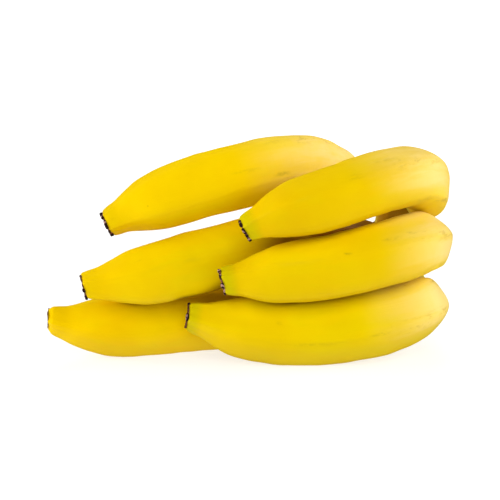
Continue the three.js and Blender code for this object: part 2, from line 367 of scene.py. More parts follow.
def loft(rings):
    """Points and faces of a closed skin through an array of rings, with a fan at each end."""
    count, sides, _ = rings.shape
    first, last = count * sides, count * sides + 1
    points = np.concatenate([rings.reshape(-1, 3), [rings[0].mean(0)], [rings[-1].mean(0)]])
    neighbours = [(a, (a + 1) % sides) for a in range(sides)]
    faces = []
    for ring in range(count - 1):
        near, far = ring * sides, (ring + 1) * sides
        faces += [(near + a, near + b, far + b, far + a) for a, b in neighbours]
    faces += [(first, b, a) for a, b in neighbours]
    faces += [(last, far + a, far + b) for a, b in neighbours]
    flat = points[np.array([face[:3] for face in faces])]
    volume = np.einsum("ij,ij->i", flat[:, 0], np.cross(flat[:, 1], flat[:, 2])).sum()
    if volume < 0:
        faces = [face[::-1] for face in faces]
    return points, faces


def vertex_vectors(mesh, field):
    """A mesh's vertex places or normals."""
    vectors = np.zeros(len(mesh.vertices) * 3)
    mesh.vertices.foreach_get(field, vectors)
    return vectors.reshape(-1, 3)


def add_values(piece, **stored):
    """Stores named values or vectors for the points of a piece, for its material to read."""
    for name, values in stored.items():
        kind, field = ("FLOAT", "value") if values.ndim == 1 else ("FLOAT_VECTOR", "vector")
        attribute = piece.data.attributes.new(name, kind, "POINT")
        attribute.data.foreach_set(field, values.astype(np.float32).ravel())


def add_ring_values(piece, **stored):
    """Stores values for the points of a lofted piece's rings, and their means for its two end centres."""
    for name, values in stored.items():
        ends = [values[:1].mean(1), values[-1:].mean(1)]
        add_values(piece, **{name: np.concatenate([values.reshape(-1, *values.shape[2:]), *ends])})


# ---------------------------------------------------------------- pieces

# How green the peel still is, from 0 to 1, behind each blossom end and along the body; how far from the
# end, in millimetres, the tip's green reaches; and how green each neck turns, and where.
UNRIPE = {"front_top": (0.75, 0.12), "front_middle": (0.85, 0.15), "front_bottom": (0.75, 0.2),
          "back_top": (0.15, 0.03), "back_middle": (0.1, 0), "back_bottom": (0, 0)}
GREEN_TIP = (13, 3)
NECK_GREEN = 0.9
GREEN_NECK = (0.8, 0.93)
# The shares of each finger between which its peel turns pale, partly as waxy bloom and partly as a
# painted highlight; how pale it gets, how much sooner that comes along the top, and how far up the skin
# has to face to be as pale as that.
WAX_AND_HIGHLIGHT = {"front_top": (0.35, 0.6, 0.95, 0.05, -0.08), "front_middle": (0.42, 0.7, 1.35, -0.01, -0.2),
        "front_bottom": (0.46, 0.77, 1.4, 0, -0.2), "back_top": (0.38, 0.68, 0.9, 0, -0.2),
        "back_middle": (0.8, 0.9, 0, 0, -0.2), "back_bottom": (0.75, 0.9, 0.3, 0, -0.2)}
# Where the wax and painted highlight fade before the neck, and how much further down than that the
# skin with none of them faces.
WAX_AND_HIGHLIGHT_ENDS = (0.97, 0.84)
WAX_AND_HIGHLIGHT_UNDER = 0.7
# How far down its sides a ridge at the pale bend is worn: a smaller power of its crest reaches further.
WORN_POWER = 0.15
# Each finger's tint, as gains on red and green, partly its own colour and partly painted light, brighter
# towards the bend; and where along the finger the three stand: behind its blossom end, along its middle
# and at its bend.
TINTS = {"front_top": [(0.9, 0.87), (0.93, 0.9), (1.0, 1.0)],
         "front_middle": [(0.9, 0.91), (0.96, 0.93), (1.02, 1.06)],
         "front_bottom": [(1.0, 1.02), (0.98, 1.01), (1.02, 1.05)],
         "back_top": [(0.92, 0.9), (1.02, 1.04), (1.03, 1.09)],
         "back_middle": [(0.97, 0.98), (1.05, 1.15), (1.1, 1.2)],
         "back_bottom": [(1.0, 0.99), (1.05, 1.07), (1.04, 1.05)]}
TINT_PLACES = [0.06, 0.4, 0.72]
# Painted bounce light: the front row's fingers are painted lighter near a neighbour, where they would
# light each other up: by the first value below on their tops and inside their bends, and by LIFT_DEEP more
# on a top right beside it. LIFT_TOP is how far up the skin faces and the gap in millimetres, and LIFT_BEND
# has the place along the finger between the two. Green is lifted LIFT_GREEN times as much as red.
PAINTED_BOUNCE = 0.16
LIFT_TOP = ((0.1, 0.7), (18, 5))
LIFT_BEND = ((0, -0.5), (0.52, 0.6), (30, 15))
LIFT_DEEP = 0.12
LIFT_DEEP_GAP = (9, 3)
LIFT_GREEN = 1.3
# Painted shade on back fingers where they lie behind the front row: the share of the length where
# that starts, the gaps, in millimetres, at which the shade starts and is full, how far up its skin
# has to face there, and the share of the length past which the whole neck is painted brown as shade.
PAINTED_SHADE_BEHIND = {"back_middle": (0.455, (30, 12), -1, 0.62), "back_bottom": (0.33, (26, 2), 0.7, 1.5)}
# Over how much of the finger's length that painted shade comes, how much sooner and weaker it is
# underneath, over how much of the skin's tilt it fades, where it fades as the skin faces the rear, and the
# neck's edge.
SHADE_BAND = 0.12
SHADE_SOONER = 0.25
SHADE_UNDER = 0.4
SHADE_TILT = 0.3
SHADE_REAR = (0.75, 0.2)
NECK_EDGE = 0.04
# Painted shade in the crevices: the gaps to any other finger, in millimetres, at which the peel starts
# to be painted darker and is darkest, on undersides and on tops.
CREVICE_SHADE = {name: (6, 2.5) for name in FINGERS} | {"front_middle": (9, 5.5)}
CREVICE_SHADE_TOPS = {name: (0.2, 0.1) for name in FINGERS}
CREVICE_SHADE_TOPS |= {"front_bottom": (3.5, 1.5), "back_bottom": (3.5, 1.5)}
# How dark that painted shade gets, how far along the finger it reaches, and which skin is underside.
CREVICE_SHADE_DEPTH = 0.8
CREVICE_SHADE_REACH = (0.62, 0.52)
UNDERSIDE = (0.3, -0.2)
# A gap is measured to a finger's body, at this many places up to where its neck starts.
GAP_PLACES = 90
NECK_START = 0.8

# Small brown marks on the peel: (share of length, clock angle round the axis from its top towards the
# front, half length and half width in millimetres, depth of colour from 0 to 1).
MARKS = {
    "front_top": [(0.33, 54, 5, 3, 0.1), (0.43, 36, 8, 2, 0.12)],
    "front_middle": [(0.35, 60, 1.6, 1, 0.45), (0.47, 51, 5, 1.2, 0.25), (0.52, 46, 2, 1, 0.25)],
    "front_bottom": [(0.25, 66, 1.5, 1.5, 0.22), (0.35, 100, 18, 1, 0.16), (0.51, 96, 5, 1.2, 0.25)],
    "back_top": [(0.511, 3, 2.8, 1.8, 1), (0.5, 93, 5, 1.6, 0.3), (0.15, 0, 1.4, 1.4, 0.6),
                 (0.41, 75, 9, 1.2, 0.15), (0.6, 250, 8, 1.5, 0.35)],
    "back_middle": [(0.3, 285, 4, 1.5, 0.35)],
    "back_bottom": [(0.4, 300, 6, 1.5, 0.35)],
}
MARK_EDGE = (1.3, 0.3)
# Every finger reads its own stretch of the peel's pattern, this many millimetres after the last one's.
PATTERN_APART = 400.0


def finger_skin(axis, shares, start):
    """Rings of points on a finger's skin.

    They come with each point's angle round the axis, how far up a ridge's crest it is, its distance
    along the finger and its reach from the axis.
    """
    point, forward, out, across = axis.frames(shares)
    angles = np.linspace(0, 2 * math.pi, FINGER_SIDES, endpoint=False)[None]
    x = shares[:, None] * axis.length
    drift = waves(x, angles, start, RIDGE_DRIFT) * step_up(0, DRIFT_GROWN, shares)[:, None]
    section = five_sided(angles + drift, along(RIDGES, shares)[:, None])
    ends = 1 - step_up(0, TIP_FOLDED, shares)[:, None] * step_up(1, NECK_FOLDED, shares)[:, None]
    lumps = waves(x, angles, start, SKIN_LUMPS) * (1 - ends)
    crest = np.abs(np.sin((angles + drift) * FACETS / 2)) ** CREST_POWER
    which_ridge = np.floor(angles * FACETS / (2 * math.pi))
    height = CREST_HEIGHT + CREST_SWAY * np.sin(x / CREST_STRIDE + start + which_ridge)
    folds = FOLD_HEIGHT * ends * np.sin(FOLDS_ROUND * angles + FOLD_SWING * np.sin(x / FOLD_STRIDE) + start)
    reach = axis.girth(shares)[:, None] * section
    reach = reach + lumps + crest * height * (CREST_BODY + CREST_ENDS * ends) + folds
    turned = angles + (axis.turn[0] + (axis.turn[1] - axis.turn[0]) * shares)[:, None]
    around = np.cos(turned)[..., None] * out[:, None] + np.sin(turned)[..., None] * across[:, None]
    offset = axis.leaning(shares[:, None], forward[:, None], reach[..., None] * around)
    return point[:, None] + offset, angles + 0 * x, crest, x + 0 * angles, reach


def gap_to(names, points):
    """How far points are, in millimetres, from the nearest of some fingers' bodies."""
    nearest = np.full(points.shape[:-1], np.inf)
    for name in names:
        other = FingerAxis(name)
        shares = np.linspace(0, NECK_START, GAP_PLACES)
        for middle, girth in zip(other.points(shares), other.girth(shares)):
            nearest = np.minimum(nearest, np.linalg.norm(points - middle, axis=-1) - girth)
    return nearest


class Peel:
    """A finger's peel: its rings of points, where on the finger each point is, and how it looks there.

    The last ring is tucked into the crown, and takes its values from the ring before it.
    """

    def __init__(self, name, number):
        self.name = name
        self.number = number
        self.axis = FingerAxis(name)
        start = SKIN_START / self.axis.length
        t = np.linspace(0, 1, FINGER_RINGS)
        shares = start + (1 - start) * (t - RINGS_CROWD * np.sin(2 * math.pi * t))
        rings, angles, crest, x, reach = finger_skin(self.axis, shares, FINGER_TURN * number)
        centre = self.axis.points(shares)[:, None]
        rings = centre + (rings - centre) * self.shoulder((shares - start) * self.axis.length)
        tucked = rings[-1:] * NECK_KEEPS + centre[-1:] * (1 - NECK_KEEPS)
        rings = np.concatenate([rings, tucked + self.axis.frames([1.0])[1][0] * NECK_TUCK])
        middles = rings.mean(1, keepdims=True)
        rings[..., 2] = np.maximum(rings[..., 2], 0)
        self.rings = rings
        self.around = self.with_tuck((rings - middles)[:-1])
        facing = self.with_tuck(unit(rings[:-1] - centre))
        self.rearward, self.upper = facing[..., 1], facing[..., 2]
        self.crest, self.x, self.angles, self.reach = map(self.with_tuck, (crest, x, angles, reach))
        self.share = self.x / self.axis.length
        self.gap = gap_to([other for other in FINGERS if other != name], rings)

    @staticmethod
    def with_tuck(values):
        """The rings' values, with the last ring's again for the one that is tucked in."""
        return np.concatenate([values, values[-1:]])

    def shoulder(self, back):
        """The share of its radius that the skin keeps, at distances back from its start."""
        drawn_in, over = ROUNDED.get(self.name, SHOULDER)
        left = (1 - step_up(SHOULDER_LEAD, over, back)) / (1 - step_up(SHOULDER_LEAD, over, 0.0))
        return (1 - drawn_in * left)[:, None, None]

    def pattern_place(self):
        """The skin as a straight tube, in metres, for the peel's pattern."""
        along_it = self.x + PATTERN_APART * self.number
        across = self.reach * np.cos(self.angles), self.reach * np.sin(self.angles)
        return np.stack([along_it, *across], -1) * MM

    def green(self):
        """How green the peel still is."""
        tip, body = UNRIPE[self.name]
        neck = NECK_GREEN * step_up(*GREEN_NECK, self.share)
        return np.maximum(np.maximum(tip * step_up(*GREEN_TIP, self.x), neck), body)

    def wax_and_highlight(self):
        """How pale the bend is made, all the way round: partly waxy bloom and partly a painted highlight.
        """
        begin, full, amount, sooner, _ = WAX_AND_HIGHLIGHT[self.name]
        wax_and_highlight = amount * step_up(begin, full, self.share + sooner * self.upper)
        return wax_and_highlight * step_up(*WAX_AND_HIGHLIGHT_ENDS, self.share)

    def pale(self):
        """How pale the bend is painted: partly waxy bloom and partly a painted highlight, less on its
        underside.
        """
        facing_up = WAX_AND_HIGHLIGHT[self.name][-1]
        return self.wax_and_highlight() * step_up(facing_up - WAX_AND_HIGHLIGHT_UNDER, facing_up, self.upper)

    def worn(self):
        """How much the ridges are worn at the pale bend."""
        return self.crest ** WORN_POWER * self.wax_and_highlight()

    def tint(self):
        """The finger's tint, as gains on red, green and blue, partly painted light, with painted bounce
        light from its neighbours.
        """
        gains = np.array([(*tint, 1) for tint in TINTS[self.name]])
        share = np.clip(self.share, TINT_PLACES[0], TINT_PLACES[-1])
        tint = np.stack([along(list(zip(TINT_PLACES, gain)), share) for gain in gains.T], -1)
        if self.name not in FRONT_ROW:
            return tint
        faces_up, gap = LIFT_TOP
        top = step_up(*faces_up, self.upper) * step_up(*gap, self.gap)
        faces_down, share, gap = LIFT_BEND
        bend = step_up(*faces_down, self.upper) * step_up(*share, self.share) * step_up(*gap, self.gap)
        painted_bounce = PAINTED_BOUNCE * np.maximum(top, bend) + LIFT_DEEP * step_up(*LIFT_DEEP_GAP, self.gap) * top
        return tint * (1 + painted_bounce[..., None] * (1, LIFT_GREEN, 0))

    def pressed(self):
        """How dark the painted shade is where the peel lies close to or behind other fingers."""
        below = step_up(*UNDERSIDE, self.upper)
        tops = (1 - below) * step_up(*CREVICE_SHADE_TOPS[self.name], self.gap)
        scuffs_and_crevice_shade = np.maximum(below * step_up(*CREVICE_SHADE[self.name], self.gap), tops)
        scuffs_and_crevice_shade = CREVICE_SHADE_DEPTH * scuffs_and_crevice_shade * step_up(*CREVICE_SHADE_REACH, self.share)
        return np.maximum(scuffs_and_crevice_shade, self.shade_behind_front()) if self.name in PAINTED_SHADE_BEHIND else scuffs_and_crevice_shade

    def shade_behind_front(self):
        """The painted shade on a back finger that lies behind the front row, and on its neck."""
        begin, gaps, facing, neck = PAINTED_SHADE_BEHIND[self.name]
        under = np.maximum(-self.upper, 0)
        shade_behind_front = step_up(*gaps, gap_to(FRONT_ROW, self.rings)) * (1 - SHADE_UNDER * under)
        shade_behind_front = shade_behind_front * step_up(begin, begin + SHADE_BAND, self.share + SHADE_SOONER * under)
        shade_behind_front = shade_behind_front * step_up(facing - SHADE_TILT, facing, self.upper)
        shade_behind_front = np.maximum(shade_behind_front, step_up(neck - NECK_EDGE, neck + NECK_EDGE, self.share))
        return shade_behind_front * step_up(*SHADE_REAR, self.rearward)

    def marks(self):
        """How deep the small brown marks are."""
        clock = np.degrees(np.arctan2(-self.around[..., 1], self.around[..., 2]))
        reach = np.linalg.norm(self.around, axis=-1)
        marks = np.zeros(self.x.shape)
        for share, place, half_length, half_width, depth in MARKS[self.name]:
            along_it = (self.x - share * self.axis.length) / half_length
            across_it = np.radians(clock_gap(clock, place)) * reach / half_width
            marks = np.maximum(marks, depth * step_up(*MARK_EDGE, np.hypot(along_it, across_it)))
        return marks


def make_finger(name, number, finish):
    """A banana in its peel, from its blossom end into the crown."""
    skin = Peel(name, number)
    piece = new_piece(f"banana_{name}", *loft(skin.rings), finish)
    # The peel's tint holds painted light and bounce light, its pale bend is partly a painted highlight, and
    # the dark of its crevices and of the back fingers behind the front row is painted shade.
    add_ring_values(piece, peel_place=skin.pattern_place(), peel_ridge=skin.crest, peel_green=skin.green(),
                    peel_pale=skin.pale(), peel_tint=skin.tint(), peel_worn=skin.worn(),
                    peel_pressed=skin.pressed(), peel_mark=skin.marks())
    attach(piece, "root")
    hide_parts(f"finger_{name}")


def bead_heights(beads, clock):
    """How high the beads stand at angles round the rim."""
    heights = np.zeros(len(clock))
    for place, half_width, height in beads:
        away = np.abs(clock_gap(clock, place)) / half_width
        heights = np.maximum(heights, height * step_up(*BEAD_EDGE, away))
    return heights


def blossom_rings(thick, middle, radius, angle, turn):
    """Rings round a rim's tube and then over its face: how far back and out each one is all round.

    With them come whether each one is on the face, and how much of the beads' dark colour reaches it.
    """
    rings, on_face, beaded = [], [], []
    for tube in np.radians(np.linspace(*RIM_ARC)):
        lumpy = thick * (1 + ripples(angle, turn + RIM_TWIST * tube, RIM_LUMPS))
        rings.append((middle - lumpy * math.cos(tube), radius + lumpy * math.sin(tube)))
        on_face.append(0)
        beaded.append(1)
    edge_back, edge_radius = rings[-1]
    pleat_height, pleats = FACE_PLEATS
    for share in np.linspace(*FACE_SPAN):
        fibres = ripples(angle, turn + FACE_TWIST * share, FACE_FIBRES)
        fibres = (fibres + pleat_height * np.sin(pleats * share + turn)) * share
        sunk = edge_back * share + FACE_SUNK * (1 - share) + fibres
        rings.append((np.minimum(sunk, FACE_LIMIT), edge_radius * share))
        on_face.append(1)
        beaded.append(share ** 3)
    return rings, on_face, beaded


def make_blossom(name, number, finish):
    """The dry remains of the flower: a beaded, ragged rim round a fibrous face."""
    axis = FingerAxis(name)
    beads, pale, thin = RIMS[name]
    point, forward, _, _ = (v[0] for v in axis.frames([0.0]))
    facing = unit(np.array([0, -1.0, 0]) - forward * -forward[1])
    upward = np.cross(forward, facing)
    upward = upward * np.sign(upward[2])
    clock = np.linspace(0, 360, RIM_SIDES, endpoint=False)
    angle = np.radians(clock)
    turn = RIM_TURN * number
    bead = bead_heights(beads, clock)
    thick = np.maximum(thin + BEAD_OUT * bead + thin * ripples(angle, turn, RIM_CRUMPLE), RIM_THINNEST)
    middle = RIM_DEPTH + ripples(angle, turn, RIM_WAVER) - BEAD_AHEAD * bead
    radius = axis.tip * (RIM_REACH - ROUNDED.get(name, SHOULDER)[0])
    radius = radius * (1 + ripples(angle, turn, RIM_OVAL)) - RIM_INSET
    rings, on_face, beaded = blossom_rings(thick, middle, radius, angle, turn)
    back, out = (np.stack(v)[..., None] for v in zip(*rings))
    around = out * (np.cos(angle)[:, None] * upward + np.sin(angle)[:, None] * facing)
    skin = point + np.maximum(back, -RIM_PROUD) * forward
    skin = skin + axis.leaning(back[..., 0] / axis.length, forward, around)
    piece = new_piece(f"blossom_end_{name}", *loft(skin), finish)
    add_ring_values(piece, blossom_bead=np.outer(beaded, step_up(*BEAD_DARKENS, bead)),
                    blossom_face=np.outer(on_face, np.ones(RIM_SIDES)),
                    blossom_pale=np.full(skin.shape[:2], pale))
    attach(piece, "root")
    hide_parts(f"blossom_{name}")


def cushion_rings():
    """Rings of the crown's cushion, from between the necks to its cut."""
    rings = np.array(CROWN_RINGS)
    fine = np.linspace(0, len(rings) - 1, CUSHION_RINGS)
    rear, half_width, half_height = (np.interp(fine, np.arange(len(rings)), c)[:, None] for c in rings.T)
    angles = np.linspace(0, 2 * math.pi, CROWN_SIDES, endpoint=False)[None]
    power = 2 / CROWN_ROUNDNESS
    across = np.sign(np.cos(angles)) * np.abs(np.cos(angles)) ** power * half_width
    up = np.sign(np.sin(angles)) * np.abs(np.sin(angles)) ** power * half_height
    bow = CROWN_BOW * (up / CROWN_HALF_HEIGHT) ** 2
    return np.stack([CROWN_MIDDLE[0] + across, rear + bow, CROWN_MIDDLE[1] + up], -1)


def collar_rings(name):
    """Rings of the crown's collar round a finger's neck."""
    axis = FingerAxis(name)
    point, forward, out, across = (v[0] for v in axis.frames([1.0]))
    ahead, radius = (np.array(c)[:, None, None] for c in zip(*COLLAR))
    angles = np.linspace(0, 2 * math.pi, COLLAR_SIDES, endpoint=False)[None, :, None]
    return point + ahead * forward + radius * (np.cos(angles) * out + np.sin(angles) * across)


def stub_rings(name):
    """Rings of the last of a neck, a little thinner, that the crown's skin grows out of."""
    axis = FingerAxis(name)
    shares = np.linspace(STUB_FROM, 1, STUB_RINGS)
    point = axis.points(shares)[:, None]
    rings = finger_skin(axis, shares, 0)[0]
    return point + (rings - point) * STUB_GIRTH


def grown_together(parts, finish):
    """One mesh grown from closed skins through rings of points, by a voxel remesh."""
    points, faces = [], []
    for rings in parts:
        skin, loops = loft(rings)
        base = sum(len(p) for p in points)
        points.append(skin)
        faces += [tuple(base + k for k in face) for face in loops]
    rough = new_piece("crown_rough", np.concatenate(points), faces, finish)
    remesh = rough.modifiers.new("grow", "REMESH")
    remesh.mode = "VOXEL"
    remesh.voxel_size = CROWN_VOXEL * MM
    ease = rough.modifiers.new("ease", "SMOOTH")
    ease.factor = CROWN_EASE
    ease.iterations = CROWN_EASED
    bpy.context.view_layer.update()
    grown = rough.evaluated_get(bpy.context.evaluated_depsgraph_get())
    mesh = bpy.data.meshes.new_from_object(grown)
    bpy.data.objects.remove(rough)
    return mesh


def make_crown(finish):
    """The crown: cushion, collars and neck stubs in one skin, with a fibrous cut and a furrowed rind."""
    necks = [rings(name) for name in FINGERS for rings in (collar_rings, stub_rings)]
    mesh = grown_together([cushion_rings(), *necks], finish)
    piece = in_scene("crown_cushion", mesh)
    vertices, normals = vertex_vectors(mesh, "co"), vertex_vectors(mesh, "normal")
    x, y, z = (vertices / MM + LAYOUT_MIDDLE).T
    rearward = normals[:, 1]
    depth = y - CROWN_BOW * ((z - CROWN_MIDDLE[1]) / CROWN_HALF_HEIGHT) ** 2
    cut = step_up(*CUT_DEPTH, depth) * step_up(*CUT_FACING, rearward)
    swing, pace = STRAND_SWING
    strands = np.sin(x * STRANDS_ACROSS + swing * np.sin(z * pace)) * np.sin(z * STRANDS_UP + x)
    swing, pace = FURROW_SWING
    furrows = np.sin(z * FURROWS_UP + swing * np.sin(x * pace))
    height = STRAND_HEIGHT * strands * cut + FURROW_HEIGHT * furrows * (1 - cut)
    vertices += normals * (height * MM)[:, None]
    mesh.vertices.foreach_set("co", vertices.ravel())
    mesh.update()
    add_values(piece, crown_cut=cut, crown_rear=step_up(*CORK_DEPTH, depth),
               crown_crook=step_up(*CROOK_SHADE_FACING, rearward) * step_up(*CROOK_SHADE_DEPTH, y))
    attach(piece, "root")
    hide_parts("crown")


# ---------------------------------------------------------------- materials


class Value:
    """A socket of a material that Python's operators work on."""

    def __init__(self, finish, socket):
        self.finish = finish
        self.socket = socket

    def maths(self, operation, *values):
        """A sum, difference or product of values and numbers."""
        return self.finish.node("ShaderNodeMath", {"operation": operation}, dict(enumerate(values)))

    def __add__(self, other):
        return self.maths("ADD", self, other)

    def __radd__(self, other):
        return self.maths("ADD", other, self)

    def __sub__(self, other):
        return self.maths("SUBTRACT", self, other)

    def __rsub__(self, other):
        return self.maths("SUBTRACT", other, self)

    def __mul__(self, other):
        return self.maths("MULTIPLY", self, other)

    def __rmul__(self, other):
        return self.maths("MULTIPLY", other, self)


class Finish:
    """A material in the making. Every node comes from node()."""

    def __init__(self, name):
        self.material = bpy.data.materials.new(name)
        self.material.use_nodes = True
        self.tree = self.material.node_tree
        self.tree.nodes.clear()

    def node(self, kind, settings=None, inputs=None, output=0):
        """Adds a node: its settings first, then its sockets' values or links. Returns an output."""
        node = self.tree.nodes.new(kind)
        for name, value in (settings or {}).items():
            setattr(node, name, value)
        for name, value in (inputs or {}).items():
            if isinstance(value, Value):
                self.tree.links.new(value.socket, node.inputs[name])
            else:
                node.inputs[name].default_value = value
        return Value(self, node.outputs[output]) if node.outputs else None

    def stored(self, name, output="Fac"):
        """A value or vector that the piece has at every point."""
        return self.node("ShaderNodeAttribute", {"attribute_name": name}, output=output)

    def own_place(self):
        """A place on the piece, in metres."""
        return self.node("ShaderNodeTexCoord", output="Object")

    def times(self, vector, gains):
        """A place stretched, or a colour tinted, by its own number each way."""
        return self.node("ShaderNodeVectorMath", {"operation": "MULTIPLY"}, {0: vector, 1: gains})

    def noise(self, place, scale, detail, roughness=0.5, stretch=None):
        """Noise at a scale per metre, drawn out each way that its stretch is below 1."""
        if stretch:
            place = self.times(place, stretch)
        inputs = {"Vector": place, "Scale": scale, "Detail": detail, "Roughness": roughness}
        return self.node("ShaderNodeTexNoise", {}, inputs)

    def between(self, value, low, high):
        """0 at low and 1 at high, smooth between them."""
        settings = {"interpolation_type": "SMOOTHSTEP"}
        inputs = {"Value": value, "From Min": low, "From Max": high}
        return self.node("ShaderNodeMapRange", settings, inputs)

    def mix(self, share, first, second):
        """A colour between two colours."""
        first, second = (c if isinstance(c, Value) else (*c, 1) for c in (first, second))
        settings = {"data_type": "RGBA", "clamp_factor": True}
        return self.node("ShaderNodeMix", settings, {0: share, 6: first, 7: second}, output=2)

    def bump(self, height, distance, strength):
        """A relief of the surface, for its normal; distance is what a height of 1 stands for."""
        inputs = {"Height": height, "Distance": distance, "Strength": strength}
        return self.node("ShaderNodeBump", {}, inputs)

    def surface(self, **sockets):
        """The finished material; a socket's name has underscores for spaces."""
        inputs = {name.replace("_", " "): value for name, value in sockets.items()}
        shader = self.node("ShaderNodeBsdfPrincipled", {}, inputs)
        self.node("ShaderNodeOutputMaterial", {}, {"Surface": shader})
        return self.material


# Colours, from red to blue: the peel's, the dried blossom's, the crown's and the table's.
RIPE = (0.80, 0.54, 0.0002)
DEEP = (0.76, 0.485, 0.0002)
LEMON = (0.72, 0.53, 0.0002)
# The pale bend's colour is partly waxy bloom and partly a painted highlight.
PALE_AND_HIGHLIGHT = (0.87, 0.63, 0.21)
GREENISH = (0.46, 0.42, 0.001)
RIDGE = (0.60, 0.40, 0.01)
FRECKLE = (0.25, 0.11, 0.006)
SCUFF = (0.48, 0.31, 0.03)
# The brown of painted shade in the crevices and behind the front row.
SHADE_BROWN = (0.24, 0.10, 0.002)
MARK = (0.13, 0.09, 0.01)

BEAD = (0.014, 0.004, 0.005)
RIM = (0.16, 0.05, 0.03)
FLAKE = (0.42, 0.24, 0.20)
DRY_FACE = (0.055, 0.03, 0.018)

GREEN_RIND = (0.42, 0.36, 0.02)
YELLOW_RIND = (0.60, 0.47, 0.03)
CORK = (0.17, 0.09, 0.035)
# Painted shade on the crown's rind between the necks.
PAINTED_CROOK_SHADE = (0.28, 0.13, 0.004)
CUT_FIBRE = (0.075, 0.035, 0.018)
CUT_PITH = (0.30, 0.18, 0.09)

TABLE_GREYS = [(0.32, 0.32, 0.32), (0.34, 0.34, 0.34)]
TABLE_GLOW = (0.72, 0.72, 0.72)
EDGE_GLOW = (1.0, 1.0, 1.0)
# How far from the middle of the table, in metres, its glow starts to rise and is that of its edge.
GLOW_RISES = (0.5, 2.0)


def peel_finish():
    """Ripe peel: yellow, greener behind the blossom end and at the neck, with a pale bend of waxy bloom and
    painted highlight.
    """
    peel = Finish("ripe_peel")
    place, tint = (peel.stored(f"peel_{name}", "Vector") for name in ("place", "tint"))
    ridge, green, pale, worn, pressed, mark = (
        peel.stored(f"peel_{name}") for name in ("ridge", "green", "pale", "worn", "pressed", "mark"))
    # The body: soft clouds of deeper and paler yellow, fine fibres along it, and the finger's tint, partly
    # its own colour and partly painted light and bounce light.
    broad = peel.noise(place, scale=26, detail=3)
    fibre = peel.noise(place, scale=620, detail=3, roughness=0.6, stretch=(0.07, 1, 1))
    patch = peel.noise(place, scale=75, detail=4, roughness=0.6, stretch=(0.35, 1, 1))
    pores = peel.noise(place, scale=1500, detail=2)
    colour = peel.mix(peel.between(broad, 0.35, 0.68), DEEP, RIPE)
    colour = peel.mix(peel.between(patch, 0.48, 0.62) * 0.3, colour, LEMON)
    colour = peel.mix(peel.between(fibre, 0.42, 0.75) * 0.12, colour, DEEP)
    colour = peel.times(colour, tint)
    # The pale bend, partly waxy bloom and partly a painted highlight, with streaks along it and fine
    # ripples across.
    ripple = peel.noise(place, scale=430, detail=4, roughness=0.65, stretch=(1, 0.2, 0.2))
    streaks = peel.noise(place, scale=90, detail=4, roughness=0.6, stretch=(0.22, 1, 1))
    wax_and_highlight = pale * (0.45 + peel.between(streaks, 0.36, 0.62) * 0.55 + (ripple - 0.5) * 0.35)
    colour = peel.mix(wax_and_highlight, colour, PALE_AND_HIGHLIGHT)
    # The green that is left, and the ridges, a little browner and worn at the bend.
    colour = peel.mix(green + (broad - 0.5) * 0.6 * green, colour, GREENISH)
    colour = peel.mix(ridge * (0.04 + peel.between(patch, 0.5, 0.66) * 0.2), colour, RIDGE)
    scuffs_and_crevice_shade = peel.noise(place, scale=260, detail=6, roughness=0.75, stretch=(0.5, 1, 1))
    colour = peel.mix(worn * peel.between(scuffs_and_crevice_shade, 0.53, 0.6) * 0.6, colour, SCUFF)
    # Painted shade in the crevices and behind the front row, scuffs, the small marks, and freckles in a few
    # places.
    colour = peel.mix(pressed, colour, SHADE_BROWN)
    scuff = peel.noise(place, scale=160, detail=5, roughness=0.65, stretch=(0.25, 1, 1))
    scuff = peel.between(scuff, 0.69, 0.77)
    colour = peel.mix(scuff * 0.3, colour, SCUFF)
    dapple = peel.noise(place, scale=600, detail=4, roughness=0.7, stretch=(0.5, 1, 1))
    colour = peel.mix(mark * peel.between(dapple, 0.38, 0.58), colour, MARK)
    spots = peel.node("ShaderNodeTexVoronoi", {}, {"Vector": place, "Scale": 80, "Randomness": 1})
    chance = peel.between(peel.noise(place, scale=60, detail=1), 0.6, 0.66)
    freckle = peel.between(spots + (pores - 0.5) * 0.05, 0.06, 0.03) * chance
    colour = peel.mix(freckle * 0.6, colour, FRECKLE)
    rough = 0.45 + (patch - 0.5) * 0.14 + scuff * 0.12
    relief = pores * 0.35 + fibre * 0.5 + patch * 0.6 + ripple * pale * 0.5
    return peel.surface(Base_Color=colour, Roughness=rough, Specular_IOR_Level=0.2,
                        Specular_Tint=(1, 0.72, 0.05, 1),
                        Normal=peel.bump(relief, distance=0.25 * MM, strength=0.6))


def blossom_finish():
    """Dried flower tissue: dark purple-brown beads, and paler brown, tan and grey between them."""
    blossom = Finish("dried_blossom")
    place = blossom.own_place()
    bead, face, pale = (blossom.stored(f"blossom_{name}") for name in ("bead", "face", "pale"))
    flakes = blossom.noise(place, scale=420, detail=3, roughness=0.6)
    grain = blossom.noise(place, scale=2600, detail=3, roughness=0.6)
    colour = blossom.mix(bead + (grain - 0.5) * 0.6, RIM, BEAD)
    colour = blossom.mix(blossom.between(flakes + pale * 0.2, 0.6, 0.72), colour, FLAKE)
    colour = blossom.mix(face * blossom.between(grain, 0.2, 0.55), colour, DRY_FACE)
    return blossom.surface(Base_Color=colour, Roughness=0.75 + grain * 0.2, Specular_IOR_Level=0.12,
                           Normal=blossom.bump(flakes + grain * 0.4, distance=0.5 * MM, strength=0.7))


